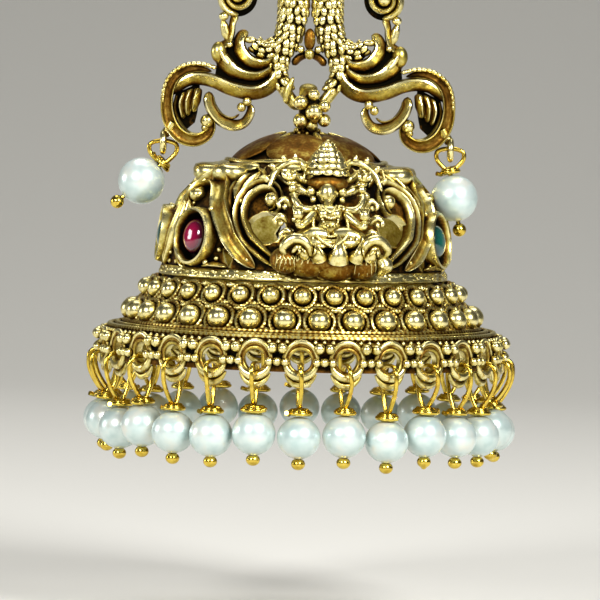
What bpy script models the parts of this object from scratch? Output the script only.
"""Jhumka earring: a cast stud head with leaf scrolls, and a pierced bell ringed with pearls.

The frame is in metres with +Z up. The origin is where the post enters the ear,
on the flat back of the stud head. The earring's front faces -Y and +X is to the right.
The bell swings about the hanger bar of the upper casting.
"""

import math
from collections import namedtuple

import bmesh
import bpy
from mathutils import Matrix, Vector

MM = 0.001

# Clearances between pieces that touch on the real earring
FIT_GAP = 0.3 * MM
STONE_GAP = 0.15 * MM

# Stud head and post
HEAD_R = 3.4 * MM
HEAD_THICK = 2.4 * MM
HEAD_RIM = 1.3 * MM
POST_R = 0.4 * MM
POST_LENGTH = 10.0 * MM
POST_BASE_R = 1.1 * MM
POST_BASE_THICK = 0.4 * MM

# Upper casting
BAR_DROP = 15.0 * MM
HEAD_OVERLAP = 2.0 * MM
BAR_R = 0.55 * MM
WING_SPAN = 12.7 * MM
RIB_DEPTH = 1.25
BODY_DEPTH = 0.8
SPIRAL_R = 1.6 * MM
SPIRAL_TURNS = 1.5
SPIRAL_STEPS = 10
LUG_R = 0.8 * MM
LUG_WIRE_R = 0.32 * MM

# Bail and flower
BAIL_WIRE_R = 0.45 * MM
BAIL_HALF_W = 0.8 * MM
BAIL_R = BAR_R + FIT_GAP + BAIL_WIRE_R + 0.05 * MM
FLOWER_BEAD_R = 0.5 * MM
SWING_YAW = 9.5

# Dome of the bell
DOME_TOP = 2.5 * MM
DOME_R = 12.2 * MM
DOME_H = 12.7 * MM
DOME_WALL = 0.9 * MM
DOME_SIDES = 30
COLLAR_PROUD = 0.45 * MM
STONE_COUNT = 8
STONE_HALF_W = 1.4 * MM
STONE_HALF_H = 1.55 * MM
STONE_PROUD = 0.9 * MM
BEZEL_WALL = 0.45 * MM
BEZEL_PROUD = 0.7 * MM
STONE_FIRST_ANGLE = 60.0

# Skirt of the bell
SKIRT_WALL = 0.8 * MM
SKIRT_SLOPE_W = 4.85 * MM
SKIRT_SLOPE_H = 4.6 * MM
RIM_BAND_H = 2.4 * MM
BEADS_PER_ROW = 32
UPPER_BEAD_H = 0.8 * MM
LOWER_BEAD_H = 1.0 * MM
DROP_COUNT = 28
RING_HALF_W = 1.80 * MM
RING_HALF_H = 2.1 * MM
RING_THICK = 0.9 * MM
RING_PROUD = 0.3 * MM
HOLE_R = 0.85 * MM

# Pearls and wire
PEARL_R = 1.85 * MM
SIDE_PEARL_R = 2.05 * MM
WIRE_R = 0.2 * MM
BALL_R = 0.6 * MM
COIL_R = 0.85 * MM
COIL_H = 0.5 * MM
DROP_LENGTH = 6.5 * MM
DROP_SPREAD = 0.25 * MM
LOOP_HALF_W = 1.15 * MM

FRONT = -HEAD_THICK / 2
BAR_CENTRE = Vector((0.0, FRONT, -BAR_DROP))
WING_RISE = BAR_DROP - HEAD_OVERLAP
UP = Vector((0.0, 0.0, 1.0))
DEPTH = Vector((0.0, 1.0, 0.0))

# A rib of the right wing: places are shares of WING_SPAN across and of WING_RISE up from the
# bar, and half widths are shares of WING_SPAN
Rib = namedtuple("Rib", "name points start middle end sides")
WING_RIBS = (
    Rib("s_ribbon", ((.20, .29), (.22, .17), (.30, .09), (.42, .07), (.56, .10),
                     (.72, .15), (.85, .125), (.94, .04)),
        .04, .048, .03, 5),
    Rib("crescent", ((.23, .32), (.29, .262), (.37, .26), (.45, .315),
                     (.487, .395), (.42, .47)), .025, .032, .02, 4),
    Rib("paisley", ((.23, .26), (.29, .20), (.38, .175), (.49, .195),
                    (.585, .27), (.65, .38)), .025, .045, .03, 5),
    Rib("tail", ((.20, .38), (.27, .355), (.33, .36), (.37, .40)), .075, .05, .02, 5),
    Rib("outer_ribbon", ((.73, .19), (.85, .175), (.93, .10), (.955, -.03),
                         (.925, -.155), (.84, -.235), (.74, -.245), (.685, -.16)), .03, .05, .04, 5),
    Rib("lower_curl", ((.675, .11), (.68, 0), (.61, -.115), (.51, -.16),
                       (.42, -.125), (.40, -.01)), .035, .038, .035, 4),
    Rib("fan_inner", ((.77, .12), (.775, 0), (.80, -.11)), .018, .024, .01, 4),
    Rib("fan_middle", ((.83, .11), (.835, -.01), (.835, -.13)), .018, .024, .01, 4),
    Rib("fan_outer", ((.88, .06), (.885, -.04), (.865, -.15)), .018, .024, .01, 4),
    Rib("stem", ((.61, .38), (.545, .43), (.545, .50), (.525, .60)), .03, .026, .026, 4),
    Rib("stem_leaf", ((.61, .58), (.585, .50), (.55, .43)), .008, .035, .02, 4),
    Rib("top_arm", ((.505, .84), (.43, .93), (.32, 1.0), (.15, 1.06)), .035, .05, .06, 5),
)
TWIN_BODY = Rib("twin_body", ((.12, 1.05), (.115, .70), (.125, .54), (.165, .40),
                              (.21, .28), (.205, .17), (.14, .085)), .12, .09, .045, 6)
# A ball that ends a curl: its place as above and its radius as a share of WING_SPAN
CURL_BALLS = ((.695, -.14, .048), (.405, -.015, .042), (.63, .345, .06))
SPIRAL_PLACE = (.505, .712)
LUG_PLACE = (.99, -.285)
LUG_STUB = ((.93, -.15), (.96, -.20), (.985, -.235))

# Bead of the flower: place in bead radii from the bar, then its size in bead radii
FLOWER_BEADS = ((1.0, 1.6, 0.8), (-1.2, 0.2, 1.0), (1.1, -1.4, 1.2), (2.9, -0.3, 0.85),
                (-1.2, -3.0, 1.05), (0.8, -3.7, 0.8), (2.9, -2.8, 0.9))
# The backing that carries the flower's beads: across, down and three half sizes, in bead radii
FLOWER_CORE = (0.5, -1.1, 1.9, 1.0, 3.0)

# Outside of the dome: shares of DOME_R and of DOME_H below the top
DOME_OUTSIDE = ((0, 0), (.20, .025), (.38, .10), (.52, .20), (.58, .215), (.73, .32),
                (.88, .48), (.97, .70), (1.0, .93))
# Ring of corners on the skirt: shares of its slope down and out, corners for each bead, how
# far every second corner is raised as a bead, and which of them is the first
SkirtRow = namedtuple("SkirtRow", "down out corners raised first")
SKIRT_ROWS = (
    SkirtRow(.0, .0, 1, 0.0, 0),
    SkirtRow(.18, .155, 2, UPPER_BEAD_H, 0),
    SkirtRow(.40, .26, 1, 0.0, 0),
    SkirtRow(.61, .43, 2, LOWER_BEAD_H, 1),
    SkirtRow(1.0, 1.0, 1, 0.0, 0),
)

# A pierced gap in the dome: angle from the figure, height share and half sizes, as shares of
# DOME_R across and of DOME_H up
Gap = namedtuple("Gap", "angle height half_w half_h sides")
FRONT_GAPS = (Gap(25.0, .665, .145, .115, 6), Gap(41.0, .86, .06, .072, 3))
SIDE_GAP = Gap(0.0, .72, .07, .125, 4)

# A scroll on the dome: angle from the figure and share of DOME_H, half width in DOME_R shares
Scroll = namedtuple("Scroll", "name points half_width")
DOME_SCROLLS = (
    Scroll("c_scroll", ((17, .50), (20, .40), (27, .37), (33, .46), (35, .64),
                        (31, .84), (24, .95)), .03),
    Scroll("ribbon", ((56, .36), (50, .32), (44, .42), (41, .58), (37, .74),
                      (30, .93)), .035),
)

# The leaf pad on the dome's shoulder above each stone: place and half sizes, as shares of
# DOME_R out and across and of DOME_H down
Pad = namedtuple("Pad", "out down half_out half_across half_down")
SHOULDER_PAD = Pad(.66, .29, .15, .14, .075)

# Part of the seated figure: place across, height share, stand-off and half sizes. Heights are
# shares of DOME_H, the rest shares of DOME_R
FigurePart = namedtuple("FigurePart", "name across height out size")
FIGURE_PARTS = (
    FigurePart("lotus_left", -.24, .90, .08, (.13, .12, .115)),
    FigurePart("lotus_centre", .0, .91, .10, (.16, .13, .115)),
    FigurePart("lotus_right", .24, .90, .08, (.13, .12, .115)),
    FigurePart("legs", .0, .77, .12, (.26, .10, .065)),
    FigurePart("torso", .0, .60, .10, (.11, .09, .145)),
    FigurePart("head", .0, .415, .10, (.085, .085, .09)),
    FigurePart("crown", .0, .255, .08, (.15, .10, .155)),
)
# Each arm of the figure: places across, down and out, in the same shares
FIGURE_ARMS = (
    ((.05, .55, .10), (.22, .47, .13), (.27, .37, .15)),
    ((.08, .55, .13), (.20, .64, .15), (.28, .58, .17)),
)
FIGURE_ARM_R = .035

# Loop of a rim drop: radial offset in LOOP_HALF_W shares and share of the way down
RIM_LOOP = ((-.5, .0), (.5, .0), (1.05, .12), (1.0, .5), (-.2, 1.0), (-1.05, .5),
            (-1.05, .12))
RIM_LOOP_FOOT = -.2
# Loop of a side drop: across in LOOP_HALF_W shares and share of the way down
SIDE_LOOP = ((-1.0, .16), (-.4, .0), (.4, .0), (1.0, .16), (.95, .55), (.2, 1.0),
             (-.2, 1.0), (-.95, .55))
SIDE_LOOP_H = 1.9 * MM
SIDE_PIN_TILT = {"left": 48.0, "right": -11.0}

DOME_BOTTOM = DOME_TOP + DOME_H
SKIRT_TOP = DOME_BOTTOM + FIT_GAP
SKIRT_R = DOME_R + COLLAR_PROUD
RIM_R = SKIRT_R + SKIRT_SLOPE_W
RIM_TOP = SKIRT_TOP + SKIRT_SLOPE_H
RIM_BOTTOM = RIM_TOP + RIM_BAND_H
HOLE_DROP = RIM_TOP + RIM_BAND_H * 0.6
RING_R = RIM_R + RING_PROUD - RING_THICK / 2
DROP_PITCH = 360.0 / DROP_COUNT
STONE_HEIGHT = SIDE_GAP.height
STONE_PITCH = (360.0 - 2 * STONE_FIRST_ANGLE) / (STONE_COUNT - 1)


def clear_scene():
    """Remove what the start-up file holds."""
    for thing in list(bpy.data.objects):
        bpy.data.objects.remove(thing, do_unlink=True)


def metal(name, colour, roughness):
    """Make a metal with the given linear colour."""
    return finish(name, colour, roughness, 1.0)


def finish(name, colour, roughness, metallic):
    """Make a Principled material."""
    material = bpy.data.materials.new(name)
    material.use_nodes = True
    shader = material.node_tree.nodes["Principled BSDF"]
    shader.inputs["Base Color"].default_value = (*colour, 1.0)
    shader.inputs["Roughness"].default_value = roughness
    shader.inputs["Metallic"].default_value = metallic
    return material


def closed_out(shape):
    """Point a closed shape's faces outwards."""
    bmesh.ops.recalc_face_normals(shape, faces=shape.faces)
    if shape.calc_volume(signed=True) < 0:
        bmesh.ops.reverse_faces(shape, faces=shape.faces)
    return shape


def sweep(points, normals, widths, heights, sides, closed=False):
    """Sweep an oval section along points; each normal is the section's height direction."""
    shape = bmesh.new()
    count = len(points)
    rings = []
    for index, point in enumerate(points):
        before = points[index - 1] if closed or index else point
        after = points[(index + 1) % count] if closed or index < count - 1 else point
        tangent = (after - before).normalized()
        side = tangent.cross(normals[index]).normalized()
        normal = side.cross(tangent).normalized()
        ring = []
        for step in range(sides):
            angle = 2 * math.pi * step / sides
            offset = side * widths[index] * math.cos(angle)
            offset += normal * heights[index] * math.sin(angle)
            ring.append(shape.verts.new(point + offset))
        rings.append(ring)
    spans = count if closed else count - 1
    for index in range(spans):
        ring = rings[index]
        after = rings[(index + 1) % count]
        for step in range(sides):
            other = (step + 1) % sides
            shape.faces.new((ring[step], ring[other], after[other], after[step]))
    if not closed:
        shape.faces.new(rings[0])
        shape.faces.new(rings[-1])
    return closed_out(shape)


def bridged(shape, ring, after):
    """Join two rings of corners, where one may have a whole number of times the other's."""
    few, many = sorted((ring, after), key=len)
    split = len(many) // len(few)
    for step in range(len(many)):
        near = few[step // split]
        edge = (many[step], many[(step + 1) % len(many)])
        if split == 1:
            shape.faces.new((near, few[(step + 1) % len(few)], edge[1], edge[0]))
            continue
        shape.faces.new((near, *edge))
        if len(few) > 1 and (step + 1) % split == 0:
            shape.faces.new((near, edge[1], few[(step // split + 1) % len(few)]))


def lathe(profile, sides):
    """Turn a closed outline of (radius, height) pairs about Z."""
    shape = bmesh.new()
    rings = []
    for radius, height in profile:
        if radius <= 1e-9:
            rings.append([shape.verts.new((0.0, 0.0, height))] * sides)
            continue
        ring = []
        for step in range(sides):
            angle = 2 * math.pi * step / sides
            ring.append(shape.verts.new((radius * math.cos(angle), radius * math.sin(angle), height)))
        rings.append(ring)
    for index, ring in enumerate(rings):
        after = rings[(index + 1) % len(rings)]
        for step in range(sides):
            other = (step + 1) % sides
            corners = (ring[step], ring[other], after[other], after[step])
            unique = list(dict.fromkeys(corners))
            if len(unique) > 2:
                shape.faces.new(unique)
    return closed_out(shape)


def prism(half_w, half_h, depth, sides, turn=0.5):
    """Make an oval prism along X, from -depth/2 to depth/2, upright in Z."""
    shape = bmesh.new()
    ends = []
    for end in (-depth / 2, depth / 2):
        ring = []
        for step in range(sides):
            angle = 2 * math.pi * (step + turn) / sides
            ring.append(shape.verts.new((end, half_w * math.cos(angle), half_h * math.sin(angle))))
        ends.append(ring)
        shape.faces.new(ring)
    for step in range(sides):
        other = (step + 1) % sides
        shape.faces.new((ends[0][step], ends[0][other], ends[1][other], ends[1][step]))
    return closed_out(shape)


def ball(centre, size, segments=6, rings=4):
    """Make an ellipsoid with the given half sizes."""
    shape = bmesh.new()
    matrix = Matrix.Translation(centre) @ Matrix.Diagonal((*size, 1.0))
    bmesh.ops.create_uvsphere(shape, u_segments=segments, v_segments=rings, radius=1.0, matrix=matrix)
    return shape


def moved(shape, matrix):
    """Transform a shape and keep its faces pointing out."""
    bmesh.ops.transform(shape, matrix=matrix, verts=shape.verts)
    if matrix.determinant() < 0:
        bmesh.ops.reverse_faces(shape, faces=shape.faces)
    return shape


def joined(shapes):
    """Put shapes that do not meet into one."""
    whole = bmesh.new()
    for shape in shapes:
        mesh = bpy.data.meshes.new("shape")
        shape.to_mesh(mesh)
        shape.free()
        whole.from_mesh(mesh)
        bpy.data.meshes.remove(mesh)
    return whole


def combined(base, tool, operation):
    """Add the tool to the base, or cut it away, and return the result."""
    pair = []
    for shape in (base, tool):
        mesh = bpy.data.meshes.new("operand")
        shape.to_mesh(mesh)
        shape.free()
        thing = bpy.data.objects.new("operand", mesh)
        bpy.context.scene.collection.objects.link(thing)
        pair.append(thing)
    modifier = pair[0].modifiers.new("combine", "BOOLEAN")
    modifier.operation = operation
    modifier.solver = "EXACT"
    modifier.object = pair[1]
    depsgraph = bpy.context.evaluated_depsgraph_get()
    result = bmesh.new()
    result.from_mesh(pair[0].evaluated_get(depsgraph).to_mesh())
    for thing in pair:
        mesh = thing.data
        bpy.data.objects.remove(thing, do_unlink=True)
        bpy.data.meshes.remove(mesh)
    bmesh.ops.remove_doubles(result, verts=result.verts, dist=2e-6)
    bmesh.ops.dissolve_degenerate(result, edges=result.edges, dist=2e-6)
    return result


def fused(shapes):
    """Unite shapes that overlap, one after the other."""
    whole = shapes[0]
    for shape in shapes[1:]:
        whole = combined(whole, shape, "UNION")
    return whole


def place(name, shape, material, holder, at=Vector()):
    """Make a node of a shape given relative to its origin, under its holder."""
    mesh = bpy.data.meshes.new(name)
    shape.to_mesh(mesh)
    shape.free()
    mesh.shade_smooth()
    mesh.set_sharp_from_angle(angle=math.radians(40.0))
    mesh.materials.append(material)
    thing = bpy.data.objects.new(name, mesh)
    bpy.context.scene.collection.objects.link(thing)
    thing.parent = holder
    thing.location = at
    return thing


def empty(name, at, holder=None):
    """Make an empty that carries other pieces."""
    thing = bpy.data.objects.new(name, None)
    bpy.context.scene.collection.objects.link(thing)
    thing.location = at
    thing.parent = holder
    return thing


def wing_point(mirror, x, z):
    """Give a place in the casting's plane, about the bar's centre."""
    return Vector((mirror * x * WING_SPAN, 0.0, z * WING_RISE))


def rib_shape(rib, depth_share, mirror):
    """Sweep a rib of the casting."""
    points = [wing_point(mirror, x, z) for x, z in rib.points]
    widths = []
    last = len(points) - 1
    for index in range(len(points)):
        share = index / last
        if share < 0.5:
            width = rib.start + (rib.middle - rib.start) * share * 2
        else:
            width = rib.middle + (rib.end - rib.middle) * (share * 2 - 1)
        widths.append(width * WING_SPAN)
    heights = [width * depth_share for width in widths]
    return sweep(points, [DEPTH] * len(points), widths, heights, rib.sides)


def spiral_shape(mirror):
    """Coil a side spiral inwards from its stem."""
    centre = wing_point(mirror, *SPIRAL_PLACE)
    points = []
    for step in range(SPIRAL_STEPS + 1):
        share = step / SPIRAL_STEPS
        angle = math.radians(-90.0) + share * SPIRAL_TURNS * 2 * math.pi
        radius = SPIRAL_R * (1.0 - 0.62 * share)
        points.append(centre + Vector((mirror * radius * math.cos(angle), 0.0, radius * math.sin(angle))))
    widths = [SPIRAL_R * (0.24 - 0.08 * step / SPIRAL_STEPS) for step in range(SPIRAL_STEPS + 1)]
    heights = [SPIRAL_R * 0.4] * len(points)
    coil = sweep(points, [DEPTH] * len(points), widths, heights, 4)
    middle = ball(centre, Vector((0.36, 0.5, 0.36)) * SPIRAL_R, 6, 4)
    return combined(coil, middle, "UNION")


def lug_shape(mirror):
    """Make the eyelet that carries a side drop, its hole along X."""
    centre = wing_point(mirror, *LUG_PLACE)
    points = []
    for step in range(8):
        angle = math.radians(45.0 * step)
        points.append(centre + Vector((0.0, LUG_R * math.cos(angle), LUG_R * math.sin(angle))))
    outward = [(point - centre).normalized() for point in points]
    wire = [LUG_WIRE_R] * 8
    ring = sweep(points, outward, wire, wire, 5, closed=True)
    stub_points = [wing_point(mirror, x, z) for x, z in LUG_STUB]
    stub_size = [LUG_WIRE_R * 1.3] * len(stub_points)
    stub = sweep(stub_points, [DEPTH] * len(stub_points), stub_size, stub_size, 5)
    return combined(ring, stub, "UNION")


def head_shape():
    """Make the plain domed stud head with its pocket for the post, about the bar's centre."""
    front = -HEAD_THICK / 2
    back = HEAD_THICK / 2
    pocket_r = POST_BASE_R + FIT_GAP
    pocket = back - POST_BASE_THICK - FIT_GAP
    profile = ((0.0, front), (HEAD_R * 0.5, front * 0.85), (HEAD_R * 0.85, front * 0.35),
               (HEAD_R, back - HEAD_RIM * 0.6), (HEAD_R, back), (pocket_r, back),
               (pocket_r, pocket), (0.0, pocket))
    disc = lathe(profile, 14)
    turn = Matrix.Rotation(math.radians(-90.0), 4, "X")
    return moved(disc, Matrix.Translation((0.0, 0.0, BAR_DROP)) @ turn)


def bar_shape():
    """Make the hanger bar, straight where the bail turns on it."""
    straight = BAIL_HALF_W + FIT_GAP
    rise = TWIN_BODY.points[-1]
    points = [wing_point(-1, *rise), Vector((-straight, 0.0, 0.0)),
              Vector((straight, 0.0, 0.0)), wing_point(1, *rise)]
    size = [BAR_R] * len(points)
    return sweep(points, [DEPTH] * len(points), size, size, 8)


def upper_casting():
    """Fuse the head, twin bodies, ribs, spirals, bar and eyelets of the upper casting."""
    shapes = [head_shape(), bar_shape()]
    for mirror in (1, -1):
        shapes.append(rib_shape(TWIN_BODY, BODY_DEPTH, mirror))
        for rib in WING_RIBS:
            shapes.append(rib_shape(rib, RIB_DEPTH, mirror))
        shapes.append(spiral_shape(mirror))
        for x, z, radius in CURL_BALLS:
            shapes.append(ball(wing_point(mirror, x, z), Vector((radius,) * 3) * WING_SPAN, 6, 4))
        shapes.append(lug_shape(mirror))
    return fused(shapes)


def post_shape():
    """Make the plain post, from its base in the head's pocket to its rounded tip."""
    base_back = -FIT_GAP * 0.5
    profile = ((0.0, base_back - POST_BASE_THICK), (POST_BASE_R, base_back - POST_BASE_THICK),
               (POST_BASE_R, base_back), (POST_R, base_back), (POST_R, POST_LENGTH - POST_R),
               (0.0, POST_LENGTH))
    turn = Matrix.Rotation(math.radians(-90.0), 4, "X")
    return moved(lathe(profile, 10), turn)


def outside_at(height_share):
    """Give the dome's outer radius at a share of its height."""
    for upper, lower in zip(DOME_OUTSIDE, DOME_OUTSIDE[1:]):
        if height_share <= lower[1]:
            share = (height_share - upper[1]) / (lower[1] - upper[1])
            return DOME_R * (upper[0] + (lower[0] - upper[0]) * share)
    return DOME_R * DOME_OUTSIDE[-1][0]


def dome_point(angle, height_share, out=0.0):
    """Give a point on the dome, by its angle from the figure, and its outward normal."""
    step = 0.02
    slope = (outside_at(min(height_share + step, 1.0)) - outside_at(height_share - step))
    fall = 2 * step * DOME_H
    turn = math.radians(angle - 90.0)
    flat = Vector((math.cos(turn), math.sin(turn), 0.0))
    normal = (flat * fall + UP * slope).normalized()
    height = -DOME_TOP - height_share * DOME_H
    return flat * outside_at(height_share) + UP * height + normal * out, normal


def facing(angle, height_share, out=0.0):
    """Give the matrix that turns +X to the dome's outward normal at a place on it."""
    point, normal = dome_point(angle, height_share, out)
    side = UP.cross(normal).normalized()
    upward = normal.cross(side)
    matrix = Matrix((normal, side, upward)).transposed().to_4x4()
    matrix.translation = point
    return matrix


def stone_angles():
    """Give each stone's angle from the figure."""
    return [STONE_FIRST_ANGLE + STONE_PITCH * index for index in range(STONE_COUNT)]


def dome_shell():
    """Turn the dome's wall with its collar."""
    outside = [(r * DOME_R, -DOME_TOP - h * DOME_H) for r, h in DOME_OUTSIDE]
    collar = [(DOME_R + COLLAR_PROUD * 0.7, -DOME_TOP - DOME_H * .94),
              (DOME_R + COLLAR_PROUD, -DOME_TOP - DOME_H * .97),
              (DOME_R + COLLAR_PROUD * 0.7, -DOME_BOTTOM)]
    inside = []
    for r, h in reversed(DOME_OUTSIDE[::2]):
        radius = max(r * DOME_R - DOME_WALL, 0.0)
        inside.append((radius, -DOME_TOP - h * DOME_H - DOME_WALL * (1.0 - r * 0.8)))
    foot = [(DOME_R - DOME_WALL, -DOME_BOTTOM)]
    return lathe(outside + collar + foot + inside, DOME_SIDES)


def dome_gaps():
    """Make the cutters of the dome's pierced gaps."""
    cutters = []
    gaps = []
    for gap in FRONT_GAPS:
        gaps.append(gap)
        gaps.append(gap._replace(angle=-gap.angle))
    for angle in stone_angles()[:-1]:
        gaps.append(SIDE_GAP._replace(angle=angle + STONE_PITCH / 2))
    for gap in gaps:
        cutter = prism(gap.half_w * DOME_R, gap.half_h * DOME_H, DOME_WALL * 6, gap.sides)
        cutters.append(moved(cutter, facing(gap.angle, gap.height)))
    return joined(cutters)


def dome_reliefs():
    """Make the scrolls and the oval bezels that stand on the dome."""
    shapes = []
    for scroll in DOME_SCROLLS:
        for mirror in (1, -1):
            places = [dome_point(mirror * angle, share) for angle, share in scroll.points]
            size = [scroll.half_width * DOME_R] * len(places)
            points = [point for point, normal in places]
            normals = [normal for point, normal in places]
            shapes.append(sweep(points, normals, size, size, 4))
    bezels = []
    for angle in stone_angles():
        bezel = prism(STONE_HALF_W + STONE_GAP + BEZEL_WALL, STONE_HALF_H + STONE_GAP + BEZEL_WALL,
                      BEZEL_PROUD + DOME_WALL, 8)
        bezels.append(moved(bezel, facing(angle, STONE_HEIGHT, BEZEL_PROUD / 2 - DOME_WALL * 0.25)))
    shapes.append(joined(bezels))
    shapes.append(joined([shoulder_pad(angle) for angle in stone_angles()]))
    return shapes


def shoulder_pad(angle):
    """Make the leaf pad above a stone."""
    pad = SHOULDER_PAD
    size = Vector((pad.half_out * DOME_R, pad.half_across * DOME_R, pad.half_down * DOME_H))
    shape = ball(Vector(), size, 6, 3)
    return moved(shape, around(angle, pad.out * DOME_R, -DOME_TOP - pad.down * DOME_H))


def stone_pockets():
    """Make the cutters of the bezels' pockets."""
    cutters = []
    for angle in stone_angles():
        cutter = prism(STONE_HALF_W + STONE_GAP, STONE_HALF_H + STONE_GAP, BEZEL_PROUD * 2, 8)
        cutters.append(moved(cutter, facing(angle, STONE_HEIGHT, BEZEL_PROUD)))
    return joined(cutters)


def figure_point(across, height_share, out):
    """Give a point of the figure, which sits in front of the dome."""
    point, normal = dome_point(0.0, max(height_share, .32))
    height = -DOME_TOP - height_share * DOME_H
    return Vector((across * DOME_R, point.y - out * DOME_R, height))


def figure_shapes():
    """Make the seated figure on its lotus."""
    shapes = []
    for part in FIGURE_PARTS:
        centre = figure_point(part.across, part.height, part.out)
        wide, deep, tall = part.size
        shapes.append(ball(centre, Vector((wide * DOME_R, deep * DOME_R, tall * DOME_H)), 6, 4))
    for arm in FIGURE_ARMS:
        for mirror in (1, -1):
            points = [figure_point(mirror * x, z, out) for x, z, out in arm]
            size = [DOME_R * FIGURE_ARM_R] * len(points)
            shapes.append(sweep(points, [DEPTH] * len(points), size, size, 5))
    return shapes


def bail_shapes():
    """Make the bail ring round the bar, its flared foot and the flower before it."""
    points = []
    for step in range(10):
        angle = math.radians(36.0 * step)
        points.append(Vector((0.0, BAIL_R * math.cos(angle), BAIL_R * math.sin(angle))))
    outward = [point.normalized() for point in points]
    ring = sweep(points, outward, [BAIL_HALF_W] * len(points), [BAIL_WIRE_R] * len(points), 6,
                 closed=True)
    foot_points = [Vector((0.0, 0.0, -BAIL_R)), Vector((0.0, 0.0, -DOME_TOP - DOME_WALL * 0.4))]
    foot_size = [BAIL_WIRE_R, BAIL_WIRE_R * 2.4]
    foot = sweep(foot_points, [DEPTH] * 2, foot_size, foot_size, 8)
    flower = []
    front = -BAIL_R - FLOWER_BEAD_R * 1.3
    for x, z, size_share in FLOWER_BEADS:
        radius = FLOWER_BEAD_R * size_share
        depth = front * (1.0 if z > -2.0 else 0.8)
        flower.append(ball(Vector((x * FLOWER_BEAD_R, depth, z * FLOWER_BEAD_R)),
                           Vector((radius, radius, radius)) * 1.35, 6, 3))
    across, down, half_w, half_d, half_h = (share * FLOWER_BEAD_R for share in FLOWER_CORE)
    core = ball(Vector((across, front * 0.8, down)), Vector((half_w, half_d, half_h)), 8, 5)
    return [ring, foot, core] + flower


def bell_dome():
    """Fuse the dome, its reliefs and figure, and cut its gaps and pockets."""
    yaw = Matrix.Rotation(math.radians(SWING_YAW), 4, "Z")
    shell = combined(dome_shell(), dome_gaps(), "DIFFERENCE")
    body = fused([shell] + dome_reliefs() + figure_shapes())
    body = combined(body, stone_pockets(), "DIFFERENCE")
    return fused([moved(body, yaw)] + bail_shapes())


def stone_shape():
    """Make an oval cabochon that rises along X from its flat back."""
    shape = bmesh.new()
    rings = []
    for share, level in ((1.0, 0.0), (1.0, 0.25), (0.62, 0.8)):
        ring = []
        for step in range(8):
            angle = 2 * math.pi * (step + 0.5) / 8
            ring.append(shape.verts.new((level * STONE_PROUD,
                                         share * STONE_HALF_W * math.cos(angle),
                                         share * STONE_HALF_H * math.sin(angle))))
        rings.append(ring)
    for ring, after in zip(rings, rings[1:]):
        for step in range(8):
            other = (step + 1) % 8
            shape.faces.new((ring[step], ring[other], after[other], after[step]))
    top = shape.verts.new((STONE_PROUD, 0.0, 0.0))
    for step in range(8):
        shape.faces.new((rings[-1][step], rings[-1][(step + 1) % 8], top))
    shape.faces.new(rings[0])
    return closed_out(shape)


def around(angle, radius, height):
    """Give the matrix that turns +X outwards at an angle round the bell."""
    turn = Matrix.Rotation(math.radians(angle - 90.0), 4, "Z")
    return turn @ Matrix.Translation((radius, 0.0, height))


def skirt_shell():
    """Turn the skirt's wall, with two rows of beads raised on its slope."""
    rows = []
    lean = math.atan2(SKIRT_SLOPE_H, SKIRT_SLOPE_W)
    for row in SKIRT_ROWS:
        radius = SKIRT_R + row.out * SKIRT_SLOPE_W
        height = -SKIRT_TOP - row.down * SKIRT_SLOPE_H
        corners = []
        for step in range(BEADS_PER_ROW * row.corners):
            raised = row.raised if step % 2 == row.first else 0.0
            corners.append((radius + raised * math.sin(lean), height + raised * math.cos(lean)))
        rows.append(corners)
    inner_r = RIM_R - SKIRT_WALL
    top_r = SKIRT_R - SKIRT_WALL * 1.6
    plain = [(RIM_R, -RIM_BOTTOM), (inner_r, -RIM_BOTTOM), (inner_r, -RIM_TOP - SKIRT_WALL * 0.4),
             (top_r, -SKIRT_TOP - SKIRT_WALL), (top_r, -SKIRT_TOP)]
    rows += [[corner] * BEADS_PER_ROW for corner in plain]
    shape = bmesh.new()
    rings = []
    for corners in rows:
        ring = []
        for step, (radius, height) in enumerate(corners):
            angle = 2 * math.pi * step / len(corners)
            ring.append(shape.verts.new((radius * math.cos(angle), radius * math.sin(angle), height)))
        rings.append(ring)
    for index, ring in enumerate(rings):
        bridged(shape, ring, rings[(index + 1) % len(rings)])
    return closed_out(shape)


def rim_rings():
    """Make the rings of the rim, one for each drop."""
    rings = []
    for index in range(DROP_COUNT):
        ring = prism(RING_HALF_W, RING_HALF_H, RING_THICK, 8)
        rings.append(moved(ring, around(index * DROP_PITCH, RING_R, -HOLE_DROP)))
    return joined(rings)


def skirt_holes():
    """Make the cutters of the rim's holes."""
    cutters = []
    for index in range(DROP_COUNT):
        cutter = prism(HOLE_R, HOLE_R, RING_THICK * 3, 6)
        cutters.append(moved(cutter, around(index * DROP_PITCH, RING_R, -HOLE_DROP)))
    return joined(cutters)


def bell_skirt():
    """Fuse the skirt with its reliefs and cut the rim's holes."""
    body = combined(skirt_shell(), rim_rings(), "UNION")
    return combined(body, skirt_holes(), "DIFFERENCE")


def stacked(levels, across):
    """Stack rings of (radius, height, sides) about an upright line at X = across."""
    shape = bmesh.new()
    rings = []
    for radius, height, sides in levels:
        ring = []
        for step in range(sides):
            angle = 2 * math.pi * step / sides
            corner = (across + radius * math.cos(angle), radius * math.sin(angle), height)
            ring.append(shape.verts.new(corner))
        rings.append(ring)
    for ring, after in zip(rings, rings[1:]):
        bridged(shape, ring, after)
    return closed_out(shape)


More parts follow.
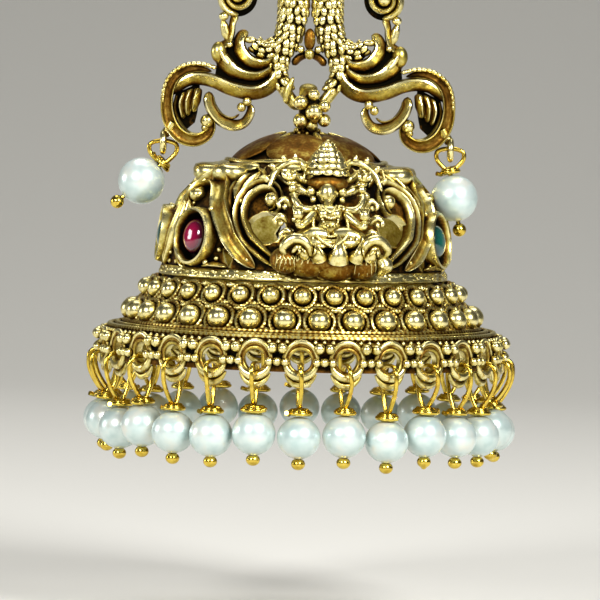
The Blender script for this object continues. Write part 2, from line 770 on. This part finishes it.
def rim_drop(index):
    """Make a rim drop in the ring's radial plane: loop, coil, pearl and ball."""
    sag = DROP_SPREAD * math.sin(2.4 * index)
    top = -HOLE_DROP - HOLE_R + WIRE_R + FIT_GAP
    pearl_z = -HOLE_DROP - DROP_LENGTH + sag
    pearl_top = pearl_z + PEARL_R * 0.96
    coil_z = pearl_top + COIL_H
    ball_z = pearl_z - PEARL_R - BALL_R * 0.6
    across = LOOP_HALF_W * RIM_LOOP_FOOT
    points = []
    for offset, share in RIM_LOOP:
        points.append(Vector((offset * LOOP_HALF_W, 0.0, top + (coil_z - top) * share)))
    size = [WIRE_R] * len(points)
    loop = sweep(points, [DEPTH] * len(points), size, size, 4, closed=True)
    levels = [(0.0, ball_z - BALL_R, 1), (BALL_R, ball_z, 5), (BALL_R * 0.5, pearl_z - PEARL_R, 5)]
    for angle in (144.0, 108.0, 72.0, 36.0):
        turn = math.radians(angle)
        levels.append((PEARL_R * math.sin(turn), pearl_z + PEARL_R * math.cos(turn), 10))
    levels += [(COIL_R, pearl_top, 5), (0.0, coil_z, 1)]
    drop = combined(stacked(levels, across), loop, "UNION")
    return moved(drop, around(index * DROP_PITCH, RING_R, 0.0))


def side_frame(mirror, name):
    """Give the matrix of a side pin: its coil at the origin and its ball along -Z."""
    lug = wing_point(mirror, *LUG_PLACE)
    coil = lug + UP * (WIRE_R * 0.5 - SIDE_LOOP_H)
    return Matrix.Translation(coil) @ Matrix.Rotation(math.radians(SIDE_PIN_TILT[name]), 4, "Y")


def side_pin(mirror, name):
    """Make a side pin: loop through the eyelet, coil, straight wire and ball."""
    lug = wing_point(mirror, *LUG_PLACE)
    points = []
    for offset, share in SIDE_LOOP:
        height = WIRE_R * 0.5 - SIDE_LOOP_H * share
        points.append(lug + Vector((offset * LOOP_HALF_W, 0.0, height)))
    size = [WIRE_R] * len(points)
    loop = sweep(points, [DEPTH] * len(points), size, size, 5, closed=True)
    length = COIL_H * 0.5 + SIDE_PEARL_R * 2 + BALL_R
    wire_points = [Vector((0.0, 0.0, 0.0)), Vector((0.0, 0.0, -length))]
    wire = sweep(wire_points, [DEPTH] * 2, [WIRE_R] * 2, [WIRE_R] * 2, 5)
    coil = ball(Vector(), Vector((COIL_R, COIL_R, COIL_H)) * 0.8, 6, 3)
    tip = ball(Vector((0.0, 0.0, -length - BALL_R * 0.5)), Vector((BALL_R,) * 3), 6, 4)
    matrix = side_frame(mirror, name)
    return fused([loop, moved(coil, matrix), moved(wire, matrix), moved(tip, matrix)])


def side_pearl(mirror, name):
    """Make a drilled side pearl on its pin."""
    bore = WIRE_R + STONE_GAP
    steps = 6
    first = math.asin(bore / SIDE_PEARL_R)
    profile = []
    for step in range(steps + 1):
        angle = first + (math.pi - 2 * first) * step / steps
        profile.append((SIDE_PEARL_R * math.sin(angle), SIDE_PEARL_R * math.cos(angle)))
    drop = COIL_H * 0.8 + SIDE_PEARL_R
    matrix = side_frame(mirror, name) @ Matrix.Translation((0.0, 0.0, -drop))
    return moved(lathe(profile, 12), matrix)


def build():
    """Model the earring."""
    clear_scene()
    antique_gold = metal("antique_gold", (0.45, 0.33, 0.09), 0.35)
    bright_gold = metal("bright_gold", (0.75, 0.45, 0.08), 0.25)
    pearl = finish("pearl", (0.80, 0.84, 0.82), 0.2, 0.0)
    ruby = finish("ruby_glass", (0.25, 0.0, 0.04), 0.1, 0.0)
    emerald = finish("emerald_glass", (0.01, 0.09, 0.07), 0.1, 0.0)

    ear = empty("ear", Vector())
    casting = empty("casting", BAR_CENTRE, ear)
    bell = empty("bell", BAR_CENTRE, ear)
    place("ear_post", post_shape(), bright_gold, ear)
    place("upper_casting", upper_casting(), antique_gold, casting)
    for name, mirror in (("left", -1), ("right", 1)):
        place("side_pin_" + name, side_pin(mirror, name), bright_gold, casting)
        place("side_pearl_" + name, side_pearl(mirror, name), pearl, casting)
    place("bell_dome", bell_dome(), antique_gold, bell)
    place("bell_skirt", bell_skirt(), antique_gold, bell)
    yaw = Matrix.Rotation(math.radians(SWING_YAW), 4, "Z")
    for index, angle in enumerate(stone_angles()):
        seat = facing(angle, STONE_HEIGHT, STONE_GAP)
        stone = moved(stone_shape(), yaw @ seat)
        place(f"stone_{index + 1:02d}", stone, ruby if index % 2 else emerald, bell)
    for index in range(DROP_COUNT):
        place(f"rim_drop_{index + 1:02d}", rim_drop(index), pearl, bell)


build()
